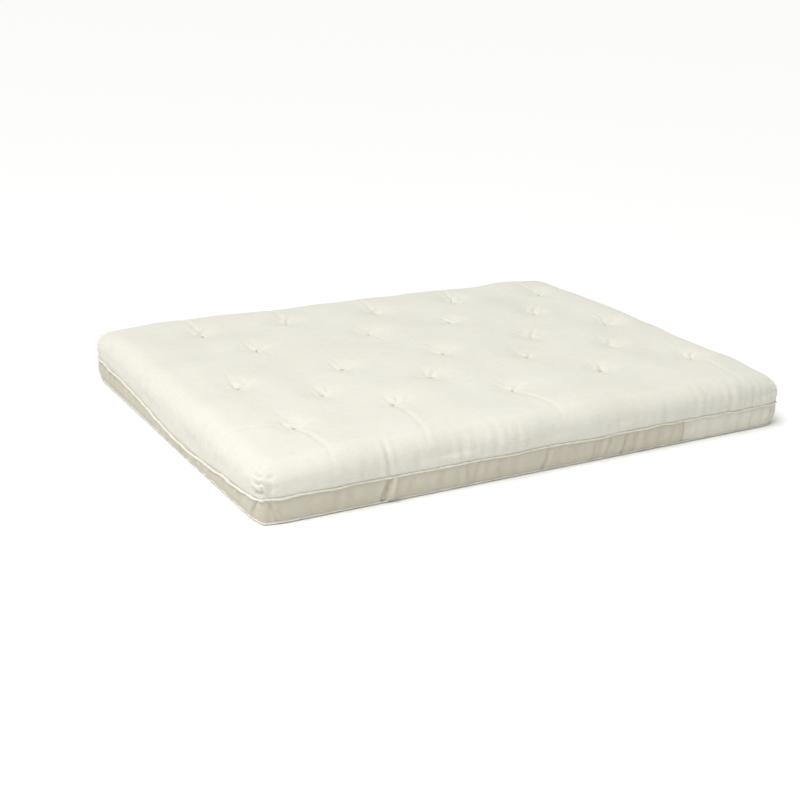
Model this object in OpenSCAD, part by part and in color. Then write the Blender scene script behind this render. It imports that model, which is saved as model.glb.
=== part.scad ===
// Tufted futon mattress: a boxed cotton casing round a foam core and cotton batts, tied through with twine.
// It lies flat as a bed and folds along its middle line into a seat and a back.
// Millimetres, +Z up, X along the long side, front edge at -Y, origin under the middle at the underside.

/* [Mattress] */
// Length along the long side
length = 1900; // [1600:10:2100]
// Depth from the front edge to the back edge
depth = 1400; // [1200:10:1600]
// Thickness at the crown, between tufts
height = 180; // [160:5:220]
// Radius of the crown's rounded edge
crown_r = 65; // [60:5:75]
// Radius of the crown's corners, seen from above
corner_r = 50; // [40:5:70]

/* [Casing] */
// Thickness of the casing cloth
cloth_t = 2; // [1:0.5:3]
// Height of the upper seam, where the border strip meets the top panel
seam_z = 82; // [70:1:85]
// How far the border strip stands back under the crown
border_in = 12; // [10:0.5:16]
// Radius of the border strip's corners
border_r = 34; // [25:1:45]
// Thickness of the rolled edge sewn along each seam
welt_d = 8; // [5:0.5:8]
// Where the border strip's two lengths are sewn together, right of the middle at the front
join_x = 520; // [100:10:600]

/* [Filling] */
// Thickness of the foam core
foam_t = 62; // [50:1:65]
// How far the foam core stays inside the casing
foam_in = 24; // [20:1:40]
// Thickness of each lower cotton batt
lower_batt_t = 19.5; // [15:0.5:20]
// Gap kept between neighbouring layers
layer_gap = 0.5; // [0.3:0.1:1]

/* [Tufts] */
// Distance between tufts along a row
tuft_pitch_x = 380; // [300:5:420]
// Distance between neighbouring rows
tuft_pitch_y = 225; // [180:5:250]
// How far the hand-laid grid sits to the right of the middle
tuft_shift_x = 40; // [0:5:50]
// How far the hand-laid grid sits behind the middle
tuft_shift_y = 30; // [20:1:40]
// Depth of the dimple that a tuft pulls into the top
top_dimple = 18; // [8:1:18]
// Depth of the dimple that a tuft pulls into the underside
bottom_dimple = 8; // [7:0.5:10]
// Radius of the round that shapes each dimple
dimple_r = 60; // [40:1:80]
// Thickness of the tufting twine
twine_d = 2; // [1:0.5:3]
// Size of the knot on top
top_knot_d = 9; // [6:0.5:12]
// Size of the knot underneath
bottom_knot_d = 6; // [4:0.5:6]

/* [Fold] */
// Clearance between the two halves along the fold line
fold_gap = 1.5; // [1:0.1:3]

/* [Hidden] */
$fn = 64;

SEAT = -1;  // the half in front of the fold line
BACK = 1;   // the half behind it
LEFT = -1;
RIGHT = 1;

crown_z = height - crown_r;          // level of the crown's widest line
fill_in = cloth_t + 0.7;             // the filling stays this far inside the casing's outer face
welt_r = welt_d / 2;
welt_in = border_in - welt_r - 0.3;  // the rolled edge lies against the outer face of the border strip
seam_slack = 0.2;                    // clearance between pieces that are sewn edge to edge
big = 2 * (length + depth);

// The layers, from the underside up: each entry is [lower level, upper level].
lower_outer = [cloth_t + layer_gap, cloth_t + layer_gap + lower_batt_t];
lower_inner = [lower_outer[1] + layer_gap, lower_outer[1] + layer_gap + lower_batt_t];
foam = [lower_inner[1] + layer_gap, lower_inner[1] + layer_gap + foam_t];
upper_batt_t = (height - fill_in - foam[1]) / 3 - layer_gap;
upper_inner = [foam[1] + layer_gap, foam[1] + layer_gap + upper_batt_t];
upper_middle = [upper_inner[1] + layer_gap, upper_inner[1] + layer_gap + upper_batt_t];
upper_outer = [upper_middle[1] + layer_gap, height];

// Rows of five and rows of four tufts alternate, the short rows set half a pitch over.
// The tufts were placed by eye, so each stands off the grid by its own few centimetres.
by_eye = [
    [[-6, -25], [-28, 32], [-2, -10], [2, 32], [-10, 8]],
    [[5, -33], [20, -22], [50, 30], [16, 7]],
    [[-15, -96], [-14, -58], [-4, -48], [4, -12], [-10, 0]],
    [[4, 8], [60, 25], [25, 35], [2, 7]],
    [[90, 8], [40, 25], [20, 20], [-2, 35], [-10, 0]]
];
tufts = [
    for (row = [0:len(by_eye) - 1])
        let (count = len(by_eye[row]))
            for (col = [0:count - 1]) [
                (col - (count - 1) / 2) * tuft_pitch_x + tuft_shift_x + by_eye[row][col][0],
                (row - 2) * tuft_pitch_y + tuft_shift_y + by_eye[row][col][1]
            ]
];

// ---- outlines and envelopes ----

// Rectangle with round corners, centred on the origin
module round_rect(l, d, r) {
    union() {
        square([l - 2 * r, d], center = true);
        square([l, d - 2 * r], center = true);
        for (sx = [-1, 1], sy = [-1, 1])
            translate([sx * (l / 2 - r), sy * (d / 2 - r)])
                circle(r = r);
    }
}

// The crown cut across: two round ends joined by a flat top, inset mm inside the casing's outer face
module crown_profile(width, inset) {
    r = crown_r - inset;
    half_flat = width / 2 - crown_r;
    union() {
        for (s = [-1, 1])
            translate([s * half_flat, crown_z])
                circle(r = r);
        translate([-half_flat, crown_z - r])
            square([2 * half_flat, 2 * r]);
    }
}

// The crown above a level, rounded along all four edges
module crown(inset, above) {
    intersection() {
        rotate([90, 0, 0])
            linear_extrude(height = big, center = true)
                crown_profile(length, inset);
        rotate([90, 0, 90])
            linear_extrude(height = big, center = true)
                crown_profile(depth, inset);
        translate([0, 0, above])
            linear_extrude(height = height)
                round_rect(length - 2 * inset, depth - 2 * inset, corner_r - inset);
    }
}

// The round hollows over the tufts, grown by the same inset so that cloth and filling nest
module top_dimples(inset) {
    for (t = tufts)
        translate([t[0], t[1], height - top_dimple + dimple_r])
            sphere(r = dimple_r + inset);
}

// The round hollows under the tufts
module bottom_dimples(inset) {
    for (t = tufts)
        translate([t[0], t[1], bottom_dimple - dimple_r])
            sphere(r = dimple_r + inset);
}

// Upright block with the border's outline, inset mm inside the border strip's outer face
module boxed(inset, z0, z1) {
    translate([0, 0, z0])
        linear_extrude(height = z1 - z0)
            round_rect(
                length - 2 * (border_in + inset),
                depth - 2 * (border_in + inset),
                border_r - inset
            );
}

// Everything on one side of the fold line
module half_space(side) {
    translate([-big / 2, side > 0 ? fold_gap / 2 : -big - fold_gap / 2, -big / 2])
        cube([big, big, big]);
}

module one_half(side) {
    intersection() {
        children();
        half_space(side);
    }
}

// ---- casing ----

// Top panel: crowned cloth with a dimple at each tuft and a lip turned in to the upper seam
module top_panel(side) {
    color("ivory")
        one_half(side)
            difference() {
                crown(0, seam_z);
                top_dimples(0);
                intersection() {
                    difference() {
                        crown(cloth_t, seam_z - 1);
                        top_dimples(cloth_t);
                    }
                    union() {
                        translate([-big / 2, -big / 2, seam_z + cloth_t])
                            cube([big, big, big]);
                        boxed(cloth_t, seam_z - 2, height);
                    }
                }
            }
}

// Bottom panel: flat cloth that lies on the slats, dimpled under each tuft
module bottom_panel(side) {
    color("linen")
        one_half(side)
            difference() {
                boxed(0, 0, 2 * bottom_dimple + cloth_t);
                bottom_dimples(0);
                difference() {
                    boxed(-1, cloth_t, 3 * bottom_dimple + cloth_t);
                    bottom_dimples(cloth_t);
                }
            }
}

// Border strip: a band of cloth round the edge, sewn from two lengths
module border(side, end) {
    join = -side * join_x;
    color("cornsilk")
        intersection() {
            difference() {
                boxed(0, cloth_t + seam_slack, seam_z - seam_slack);
                boxed(cloth_t, 0, height);
            }
            half_space(side);
            translate([end > 0 ? join + seam_slack : join - seam_slack - big, -big / 2, 0])
                cube([big, big, height]);
        }
}

// Rolled edge along a seam: straight rolls joined by quarter turns at the corners
module welt_loop(z) {
    turn_r = border_r + border_in - welt_in;
    run_x = length - 2 * (welt_in + turn_r);
    run_y = depth - 2 * (welt_in + turn_r);
    translate([0, 0, z]) {
        for (s = [-1, 1]) {
            translate([0, s * (depth / 2 - welt_in), 0])
                rotate([0, 90, 0])
                    cylinder(h = run_x, d = welt_d, center = true);
            translate([s * (length / 2 - welt_in), 0, 0])
                rotate([90, 0, 0])
                    cylinder(h = run_y, d = welt_d, center = true);
        }
        for (c = [[1, 1, 0], [-1, 1, 90], [-1, -1, 180], [1, -1, 270]])
            translate([c[0] * run_x / 2, c[1] * run_y / 2, 0])
                rotate([0, 0, c[2]])
                    rotate_extrude(angle = 90)
                        translate([turn_r, 0])
                            circle(d = welt_d);
    }
}

module top_welt(side) {
    color("snow")
        one_half(side)
            welt_loop(seam_z - welt_r - 0.5);
}

module bottom_welt(side) {
    color("snow")
        one_half(side)
            welt_loop(welt_r + 0.5);
}

// ---- filling ----

// Cotton batt inside the crown, between two levels
module upper_batt(side, level) {
    color("wheat")
        one_half(side)
            difference() {
                crown(fill_in, level[0]);
                top_dimples(fill_in);
                translate([-big / 2, -big / 2, level[1]])
                    cube([big, big, height]);
            }
}

// Cotton batt under the foam, between two levels
module lower_batt(side, level) {
    color("burlywood")
        one_half(side)
            difference() {
                boxed(fill_in, level[0], level[1]);
                bottom_dimples(fill_in);
            }
}

module foam_core(side) {
    color("khaki")
        one_half(side)
            boxed(foam_in - border_in, foam[0], foam[1]);
}

// ---- tufts ----

// The tufts that belong to one half
function tufts_of(side) = [for (t = tufts) if (t[1] * side > 0) t];

// Twine pulled through every layer, knotted above and below
module tuft_twine(side) {
    color("tan")
        for (t = tufts_of(side))
            translate([t[0], t[1], bottom_dimple - 0.1])
                cylinder(h = height - top_dimple - bottom_dimple + 0.2, d = twine_d);
}

module top_knots(side) {
    color("tan")
        for (t = tufts_of(side))
            translate([t[0], t[1], height - top_dimple + top_knot_d / 2 + 0.2])
                sphere(d = top_knot_d);
}

module bottom_knots(side) {
    color("tan")
        for (t = tufts_of(side))
            translate([t[0], t[1], bottom_dimple - bottom_knot_d / 2 - 0.2])
                sphere(d = bottom_knot_d);
}

// ---- seat half ----
top_panel(SEAT);  // seat_top_panel
bottom_panel(SEAT);  // seat_bottom_panel
border(SEAT, LEFT);  // seat_border_left
border(SEAT, RIGHT);  // seat_border_right
top_welt(SEAT);  // seat_top_welt
bottom_welt(SEAT);  // seat_bottom_welt
upper_batt(SEAT, upper_outer);  // seat_upper_batt_outer
upper_batt(SEAT, upper_middle);  // seat_upper_batt_middle
upper_batt(SEAT, upper_inner);  // seat_upper_batt_inner
foam_core(SEAT);  // seat_foam_core
lower_batt(SEAT, lower_inner);  // seat_lower_batt_inner
lower_batt(SEAT, lower_outer);  // seat_lower_batt_outer
tuft_twine(SEAT);  // seat_tuft_twine
top_knots(SEAT);  // seat_top_knots
bottom_knots(SEAT);  // seat_bottom_knots

// ---- back half ----
top_panel(BACK);  // back_top_panel
bottom_panel(BACK);  // back_bottom_panel
border(BACK, LEFT);  // back_border_left
border(BACK, RIGHT);  // back_border_right
top_welt(BACK);  // back_top_welt
bottom_welt(BACK);  // back_bottom_welt
upper_batt(BACK, upper_outer);  // back_upper_batt_outer
upper_batt(BACK, upper_middle);  // back_upper_batt_middle
upper_batt(BACK, upper_inner);  // back_upper_batt_inner
foam_core(BACK);  // back_foam_core
lower_batt(BACK, lower_inner);  // back_lower_batt_inner
lower_batt(BACK, lower_outer);  // back_lower_batt_outer
tuft_twine(BACK);  // back_tuft_twine
top_knots(BACK);  // back_top_knots
bottom_knots(BACK);  // back_bottom_knots
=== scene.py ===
import math

import bpy
import numpy as np
from mathutils import Matrix, Vector


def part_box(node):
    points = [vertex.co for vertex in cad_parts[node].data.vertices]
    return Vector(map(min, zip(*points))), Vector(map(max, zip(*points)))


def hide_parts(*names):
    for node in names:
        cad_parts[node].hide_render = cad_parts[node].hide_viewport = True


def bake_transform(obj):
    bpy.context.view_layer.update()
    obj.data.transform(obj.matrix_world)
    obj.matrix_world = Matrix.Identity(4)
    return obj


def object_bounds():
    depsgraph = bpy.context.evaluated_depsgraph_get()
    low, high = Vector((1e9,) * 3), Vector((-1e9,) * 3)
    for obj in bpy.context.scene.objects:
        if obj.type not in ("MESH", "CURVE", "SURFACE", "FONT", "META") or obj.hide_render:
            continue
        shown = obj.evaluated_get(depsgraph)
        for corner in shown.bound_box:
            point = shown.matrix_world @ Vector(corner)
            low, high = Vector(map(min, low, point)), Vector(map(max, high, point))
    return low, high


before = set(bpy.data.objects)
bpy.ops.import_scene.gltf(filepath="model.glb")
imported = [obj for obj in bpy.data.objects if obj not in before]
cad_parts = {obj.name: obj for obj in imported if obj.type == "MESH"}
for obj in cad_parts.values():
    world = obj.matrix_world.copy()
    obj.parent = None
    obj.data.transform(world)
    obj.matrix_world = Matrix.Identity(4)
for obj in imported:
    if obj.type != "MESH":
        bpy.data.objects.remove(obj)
cad_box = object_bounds()


# ---- Camera ----
# It stands in front of the left end, a little above head height for a seated person, and looks down
# along the mattress. The lens is a short telephoto, and the horizon tips a little to the right.
scene = bpy.context.scene


def placed(name, data):
    """A new object, in the scene"""
    made = bpy.data.objects.new(name, data)
    scene.collection.objects.link(made)
    return made


camera_place = (-2.276, -3.647, 1.526)
camera_turn = math.radians(-30.96)
camera_tilt = math.radians(21.03)
camera_roll = math.radians(2.23)
camera_data = bpy.data.cameras.new("camera")
camera_data.lens = 59.84
camera_data.shift_x = -0.0069
camera_data.shift_y = 0.0417
camera = placed("camera", camera_data)
camera_aim = Matrix.Rotation(camera_turn, 4, "Z") @ Matrix.Rotation(math.pi / 2 - camera_tilt, 4, "X")
camera.matrix_world = Matrix.Translation(camera_place) @ camera_aim @ Matrix.Rotation(camera_roll, 4, "Z")
scene.camera = camera
scene.view_settings.view_transform = "Standard"


# ---- Floor and light ----
# A plain pale floor that runs out of sight, one broad soft light high up at the left, a smaller one
# over the near left corner, and an even pale sky that fills the shaded sides.
floor_reach = 30
warm_white = (1.0, 0.995, 0.98)


def new_paint(name):
    """An empty material, its node tree and its shader"""
    paint = bpy.data.materials.new(name)
    paint.use_nodes = True
    return paint, paint.node_tree, paint.node_tree.nodes["Principled BSDF"]


def lamp(name, kind, energy, toward, **settings):
    """A lamp that shines from the direction given"""
    data = bpy.data.lights.new(name, kind)
    data.energy = energy
    data.color = warm_white
    for key, value in settings.items():
        setattr(data, key, value)
    made = placed(name, data)
    made.rotation_euler = Vector(toward).to_track_quat("Z", "Y").to_euler()
    return made


floor_mesh = bpy.data.meshes.new("floor")
floor_corners = [(x * floor_reach, y * floor_reach, 0) for x, y in ((-1, -1), (1, -1), (1, 1), (-1, 1))]
floor_mesh.from_pydata(floor_corners, [], [(0, 1, 2, 3)])
floor = placed("floor", floor_mesh)
floor_paint = new_paint("floor_paint")
floor_paint[2].inputs["Base Color"].default_value = (0.95, 0.95, 0.94, 1)
floor_paint[2].inputs["Roughness"].default_value = 0.9
floor_mesh.materials.append(floor_paint[0])

lamp("key", "SUN", 2.02, (-0.38, 0.02, 1.0), angle=math.radians(40))
near_lamp = lamp("near", "AREA", 34, (-1.4, -1.7, 2.6), size=1.6)
near_lamp.location = (-2.0, -1.9, 2.7)

sky = bpy.data.worlds.new("sky")
sky.use_nodes = True
sky_nodes = sky.node_tree.nodes
sky_light = sky_nodes["Background"]
sky_light.inputs["Color"].default_value = (0.97, 0.98, 1.0, 1)
sky_light.inputs["Strength"].default_value = 0.46
sky_seen = sky_nodes.new("ShaderNodeBackground")
sky_seen.inputs["Color"].default_value = (0.97, 0.975, 0.97, 1)
sky_path = sky_nodes.new("ShaderNodeLightPath")
sky_mix = sky_nodes.new("ShaderNodeMixShader")
for source, target in (
    (sky_path.outputs["Is Camera Ray"], sky_mix.inputs["Fac"]),
    (sky_light.outputs["Background"], sky_mix.inputs[1]),
    (sky_seen.outputs["Background"], sky_mix.inputs[2]),
    (sky_mix.outputs["Shader"], sky_nodes["World Output"].inputs["Surface"]),
):
    sky.node_tree.links.new(source, target)
scene.world = sky


# ---- Casing, stuffed and tufted ----
# The casing is a boxed bag of unbleached cotton duck, sewn from a top panel, two border strips and a
# bottom panel. It is filled tight and pulled down at each tuft. Top and border are one net of points
# here, blown up against the tufts, and each panel is cut from that net further on.
half_x, half_y, top_z = cad_box[1]
crown_r = 0.065
corner_w = 0.085
corner_round = 0.58
crown_z = top_z - crown_r
corner_droop = 0.016
droop_reach = 0.15
seam_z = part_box("seat_top_panel")[0].z
border_in = half_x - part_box("seat_border_right")[1].x
net_cell = 0.012
rim_flat = corner_w - crown_r
crown_arc = crown_r * math.pi / 2
turn_len = rim_flat + crown_arc
turn_cells = 10
lip_rows = 3
border_rows = 7
seam_in = 0.003
lip_len = crown_z - seam_z

# Places on the cut cloth of the top panel: where its flat middle ends, its edge, and the loop round it.
inner_half = np.array([half_x - corner_w, half_y - corner_w])
edge_u = half_x - corner_w + turn_len
edge_v = half_y - corner_w + turn_len
loop_len = 4 * (edge_u + edge_v)


def bell(distance, width):
    """1 in the middle, and falling smoothly to nothing past the width"""
    return np.exp(-((distance / width) ** 2))


def tufts_in(node):
    """The middle of each separate knot in a CAD node"""
    left = np.array([v.co[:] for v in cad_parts[node].data.vertices])
    found = []
    while len(left):
        near = np.linalg.norm(left[:, :2] - left[0, :2], axis=1) < 0.03
        found.append((left[near].min(0) + left[near].max(0)) / 2)
        left = left[~near]
    return found


tufts = np.array(tufts_in("seat_top_knots") + tufts_in("back_top_knots"))


def net_lines(inner, cell, turn_width, cells):
    """Places of a net's lines: evenly over the flat middle, and so many over the turn at each side"""
    turn = turn_width * np.arange(1, cells + 1) / cells
    flat = np.linspace(-inner, inner, 2 * round(inner / cell) + 1)
    return np.concatenate([-inner - turn[::-1], flat, inner + turn])


def corner_turn(u, v, inner):
    """How far a place lies past the inner corners, its outward aim, and the aim of a part-round corner"""
    cut = np.stack([u, v], -1)
    over = np.maximum(np.abs(cut) - inner, 0)
    run = over.max(-1)
    aim = over / np.maximum(np.linalg.norm(over, axis=-1), 1e-9)[..., None]
    step = corner_round * aim + (1 - corner_round) * over / np.maximum(run, 1e-9)[..., None]
    return cut, run, aim, step


def crowned(u, v):
    """Point and outward normal on the filled top, for a place (u, v) on the cut cloth"""
    cut, run, aim, step = corner_turn(u, v, inner_half)
    roll = np.clip((run - rim_flat) / crown_r, 0, math.pi / 2)
    reach = np.minimum(run, rim_flat) + crown_r * np.sin(roll)
    flat = np.sign(cut) * (np.minimum(np.abs(cut), inner_half) + step * reach[..., None])
    to_corner = np.hypot(half_x - np.abs(flat[..., 0]), half_y - np.abs(flat[..., 1]))
    level = crown_z + (crown_r - corner_droop * bell(to_corner, droop_reach)) * np.cos(roll)
    normal = np.concatenate([np.sign(cut) * aim * np.sin(roll)[..., None], np.cos(roll)[..., None]], -1)
    return np.concatenate([flat, level[..., None]], -1), normal


def rim_path(count_x, count_y):
    """Grid places (i, j) once round the edge of a grid, counter-clockwise from the front left corner"""
    front = [(i, 0) for i in range(count_x)]
    right = [(count_x, j) for j in range(count_y)]
    back = [(i, count_y) for i in range(count_x, 0, -1)]
    left = [(0, j) for j in range(count_y, 0, -1)]
    return np.array(front + right + back + left)


def at_rim(path, grid):
    """What a grid holds at each place of a rim path"""
    return grid[path[:, 0], path[:, 1]]


lines = [net_lines(inner, net_cell, turn_len, turn_cells) for inner in inner_half]
net_u, net_v = np.meshgrid(*lines, indexing="ij")
top_net, top_normal = crowned(net_u, net_v)
for tuft in tufts:
    gap = np.linalg.norm(top_net[..., :2] - tuft[:2], axis=-1)
    nearest = np.unravel_index(gap.argmin(), gap.shape)
    shift = tuft[:2] - top_net[nearest][:2]
    top_net[..., :2] += shift * bell(gap, 0.04)[..., None]
count_x, count_y = net_u.shape[0] - 1, net_u.shape[1] - 1
rim = rim_path(count_x, count_y)
rim_points = at_rim(rim, top_net)
rim_out = at_rim(rim, top_normal)
rim_out[:, 2] = 0

# Below the crown's widest line the cloth turns in to the upper seam, and the border strip below it
# bellies out a little between its two seams. Along the left end the top hangs lower over the border.
lip = np.arange(1, lip_rows + 1) / lip_rows
belly = np.arange(1, border_rows + 1) / border_rows
belly_out = np.sin(math.pi * belly)


def rim_place(u, v):
    """How far round the edge of the cut cloth the line outward from a place (u, v) comes out"""
    over = np.maximum(np.abs(np.stack([u, v], -1)) - inner_half, 0)
    run = np.maximum(over.max(-1), 1e-9)
    fanned = inner_half + over / run[..., None] * turn_len
    along_x = np.sign(u) * np.where(over[..., 0] > 0, fanned[..., 0], np.abs(u))
    along_y = np.sign(v) * np.where(over[..., 1] > 0, fanned[..., 1], np.abs(v))
    on_end = over[..., 0] >= over[..., 1]
    long_run = np.where(v < 0, edge_u + along_x, 3 * edge_u + 2 * edge_v - along_x)
    end_run = np.where(u > 0, 2 * edge_u + edge_v + along_y, 4 * edge_u + 3 * edge_v - along_y)
    return np.where(on_end, end_run, long_run)


def loop_waves(place, longest, shortest, seed):
    """Random waves round the edge of the casing, about -1 to 1, that close on themselves"""
    draw = np.random.default_rng(seed)
    counts = draw.integers(round(loop_len / longest), round(loop_len / shortest) + 1, 24)
    phases = draw.uniform(0, 2 * math.pi, 24)
    total = sum(np.sin(2 * math.pi * c * place / loop_len + p) for c, p in zip(counts, phases))
    return total / math.sqrt(24)


def soft_swell(x, y, longest, shortest, seed):
    """Random soft hills and hollows over a flat area, about -1 to 1"""
    draw = np.random.default_rng(seed)
    lengths = draw.uniform(shortest, longest, 24)
    headings = draw.uniform(0, math.pi, 24)
    phases = draw.uniform(0, 2 * math.pi, 24)
    total = sum(
        np.sin(2 * math.pi * (x * math.cos(h) + y * math.sin(h)) / l + p)
        for l, h, p in zip(lengths, headings, phases)
    )
    return total / math.sqrt(24)


rim_run = rim_place(at_rim(rim, net_u), at_rim(rim, net_v))
sag = 0.040
sag_middle = loop_len - edge_v + 0.15
sag_reach = 0.38


def seam_level(place):
    """Height of the upper seam round the casing"""
    hung = seam_z - 0.002 - sag * bell(place - sag_middle, sag_reach)
    return hung + 0.002 * loop_waves(place, 0.9, 0.25, 16)


seam_run = seam_level(rim_run)
wall_net = rim_points[None] - rim_out[None] * np.concatenate([
    seam_in * lip ** 2,
    seam_in + (border_in - 0.001 - seam_in) * belly - 0.005 * belly_out,
])[:, None, None]
wall_net[..., 2] = np.concatenate([
    crown_z + (seam_run - crown_z) * lip[:, None],
    seam_run + (0.002 - seam_run) * belly[:, None],
])

# The top panel is eased onto the shorter border strip, so its edge stands in small upright puckers.
net_run = rim_place(net_u, net_v)
from_edge = np.minimum(edge_u - np.abs(net_u), edge_v - np.abs(net_v))
from_rim = np.minimum(from_edge, turn_len)


def pucker(place, from_seam):
    """Height of the eased-in puckers of the top panel at a distance up from the seam"""
    strength = 0.0013 + 0.0017 * loop_waves(place, 1.2, 0.3, 11)
    fade = bell(from_seam, 0.075) * np.minimum(1, from_seam / 0.012)
    return np.maximum(strength, 0) * loop_waves(place, 0.115, 0.034, 12) * fade


swell_high = 0.0034
shoulder_high = 0.0055
top_start = top_net + top_normal * (
    pucker(net_run, from_rim + lip_len) * (from_rim < turn_len)
    + swell_high * soft_swell(net_u, net_v, 0.48, 0.18, 13)
    + shoulder_high * bell(from_edge - 0.15, 0.09)
)[..., None]
lip_puckers = pucker(rim_run[None], (lip_len * (1 - lip))[:, None])
border_waves = 0.0025 * loop_waves(rim_run, 0.13, 0.045, 14)[None] * belly_out[:, None]
wall_start = wall_net + rim_out[None] * np.concatenate([lip_puckers, border_waves])[..., None]

net_points = np.concatenate([top_start.reshape(-1, 3), wall_start.reshape(-1, 3)])


def numbered(net):
    """The numbers of a net's points"""
    return np.arange(net[..., 0].size).reshape(net.shape[:2])


def numbered_wall(path, ids, rows, first):
    """The numbers along a net's rim, and of the rows of points below it, which start at the first one"""
    return np.concatenate([at_rim(path, ids)[None], first + np.arange(rows * len(path)).reshape(rows, -1)])


def grid_quads(ids):
    """Faces of a grid of points, front side up"""
    return np.stack([ids[:-1, :-1], ids[1:, :-1], ids[1:, 1:], ids[:-1, 1:]], -1).reshape(-1, 4)


def loop_quads(ids):
    """Faces of a band of closed loops of points, one below the other, front side out"""
    after = np.roll(ids, -1, axis=1)
    return np.stack([ids[:-1], ids[1:], after[1:], after[:-1]], -1).reshape(-1, 4)


top_id = numbered(top_start)
wall_id = numbered_wall(rim, top_id, len(wall_net), top_id.size)
net_mesh = bpy.data.meshes.new("casing_net")
net_faces = np.concatenate([grid_quads(top_id), loop_quads(wall_id)])
net_mesh.from_pydata(net_points.tolist(), [], net_faces.tolist())
net = placed("casing_net", net_mesh)

# While it fills, the knots and both seams are held fast, the border between the seams hardly, and the
# rest of the top by the filling under it, less and less towards each tuft.
tuft_sink = 0.0045
tuft_points = []
for tuft in tufts:
    gap = np.linalg.norm(net_points[: top_id.size, :2] - tuft[:2], axis=1)
    tuft_points.append(int(gap.argmin()))
seam_points = wall_id[[lip_rows, -1]].ravel().tolist()
border_points = wall_id[lip_rows + 1:-1].ravel().tolist()
held = net.vertex_groups.new(name="held")
held.add(tuft_points + seam_points, 1.0, "REPLACE")
held.add(border_points, 0.08, "REPLACE")
to_tuft = np.linalg.norm(net_points[: top_id.size, None, :2] - tufts[None, :, :2], axis=-1).min(1)
backing = 0.30 * (1 - bell(to_tuft, 0.06))
for point, hold in enumerate(backing):
    if point not in tuft_points:
        held.add([point], float(hold), "REPLACE")
tuft_z = tufts[:, 2].mean() - tuft_sink
net.shape_key_add(name="filled")
pulled = net.shape_key_add(name="tufted")
for point in tuft_points:
    pulled.data[point].co.z = tuft_z
pulled.value = 0
pulled.keyframe_insert("value", frame=1)
pulled.value = 1
pulled.keyframe_insert("value", frame=12)

stuffing = net.modifiers.new("stuffing", "CLOTH")
for setting, value in {
    "quality": 5, "mass": 0.25, "tension_stiffness": 25, "compression_stiffness": 25, "shear_stiffness": 6,
    "bending_stiffness": 1.2, "air_damping": 4, "shrink_min": -0.002, "use_pressure": True,
    "uniform_pressure_force": 0.6, "vertex_group_mass": "held", "pin_stiffness": 20,
}.items():
    setattr(stuffing.settings, setting, value)
stuffing.settings.effector_weights.gravity = 0
stuffing.collision_settings.use_collision = False
fill_frames = 30
stuffing.point_cache.frame_end = fill_frames

for step in range(1, fill_frames + 1):
    scene.frame_set(step)
filled = net.evaluated_get(bpy.context.evaluated_depsgraph_get()).to_mesh()
net_filled = np.empty(len(net_points) * 3)
filled.vertices.foreach_get("co", net_filled)
net_filled = net_filled.reshape(-1, 3)
scene.frame_set(1)
bpy.data.objects.remove(net)


def halved(points, axis, closed=False):
    """Twice as many points along one axis of a net, on smooth curves through the old ones"""
    old = np.moveaxis(points, axis, 0)
    run = np.concatenate([2 * old[:1] - old[1:2], old, 2 * old[-1:] - old[-2:-1]])
    if closed:
        run = np.concatenate([old[-1:], old, old[:2]])
    middle = (9 * (run[1:-2] + run[2:-1]) - run[:-3] - run[3:]) / 16
    finer = np.empty((len(old) + len(middle),) + old.shape[1:])
    finer[0::2] = old
    finer[1::2] = middle
    return np.moveaxis(finer, 0, axis)


def outward(points, closed=False):
    """Unit normals of a net of points, front side out"""
    along = np.gradient(points, axis=0)
    across = (np.roll(points, -1, 1) - np.roll(points, 1, 1)) / 2 if closed else np.gradient(points, axis=1)
    normal = np.cross(along, across)
    return normal / np.maximum(np.linalg.norm(normal, axis=-1), 1e-12)[..., None]


# The net at half its cell: the top, with the place of each point on the cut cloth, and the wall.
top_filled = net_filled[: top_id.size].reshape(count_x + 1, count_y + 1, 3)
wall_filled = net_filled[wall_id]
top = halved(halved(top_filled, 0), 1)
fine_u = halved(halved(net_u, 0), 1)
fine_v = halved(halved(net_v, 0), 1)
fine_x, fine_y = 2 * count_x, 2 * count_y
fine_rim = rim_path(fine_x, fine_y)
wall = halved(halved(wall_filled, 0), 1, closed=True)
wall[0] = at_rim(fine_rim, top)
rim_u = at_rim(fine_rim, fine_u)
rim_v = at_rim(fine_rim, fine_v)
rim_place_fine = rim_place(rim_u, rim_v)
rim_aim = crowned(rim_u, rim_v)[1]
rim_aim[:, 2] = 0
seam_row = 2 * lip_rows
lip_drop = np.linspace(0, 1, seam_row + 1)[:, None] * (crown_z - seam_level(rim_place_fine))
lip_u = rim_u + rim_aim[:, 0] * lip_drop
lip_v = rim_v + rim_aim[:, 1] * lip_drop


def crease(u, v, start, end, bend, width, depth):
    """Height of one crease pulled in the cloth: a narrow valley that fades out, with a low lip each side"""
    run = end - start
    length = np.linalg.norm(run)
    side = np.array([-run[1], run[0]]) / length
    far = ((u - start[0]) * run[0] + (v - start[1]) * run[1]) / length ** 2
    share = np.clip(far, 0, 1)
    off = (u - start[0]) * side[0] + (v - start[1]) * side[1] - 4 * bend * share * (1 - share)
    past = np.maximum(np.maximum(-far, far - 1), 0) * length
    gap = np.abs(off) / width
    profile = bell(gap, 1) - 0.42 * bell(gap - 2.1, 1.1)
    fade = (1 - share ** 2) * (1 - bell(share + 0.12, 0.15))
    return -depth * profile * fade * bell(past, width)


def aim_at(heading):
    """A level aim of length 1"""
    return np.array([math.cos(heading), math.sin(heading)])


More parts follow.
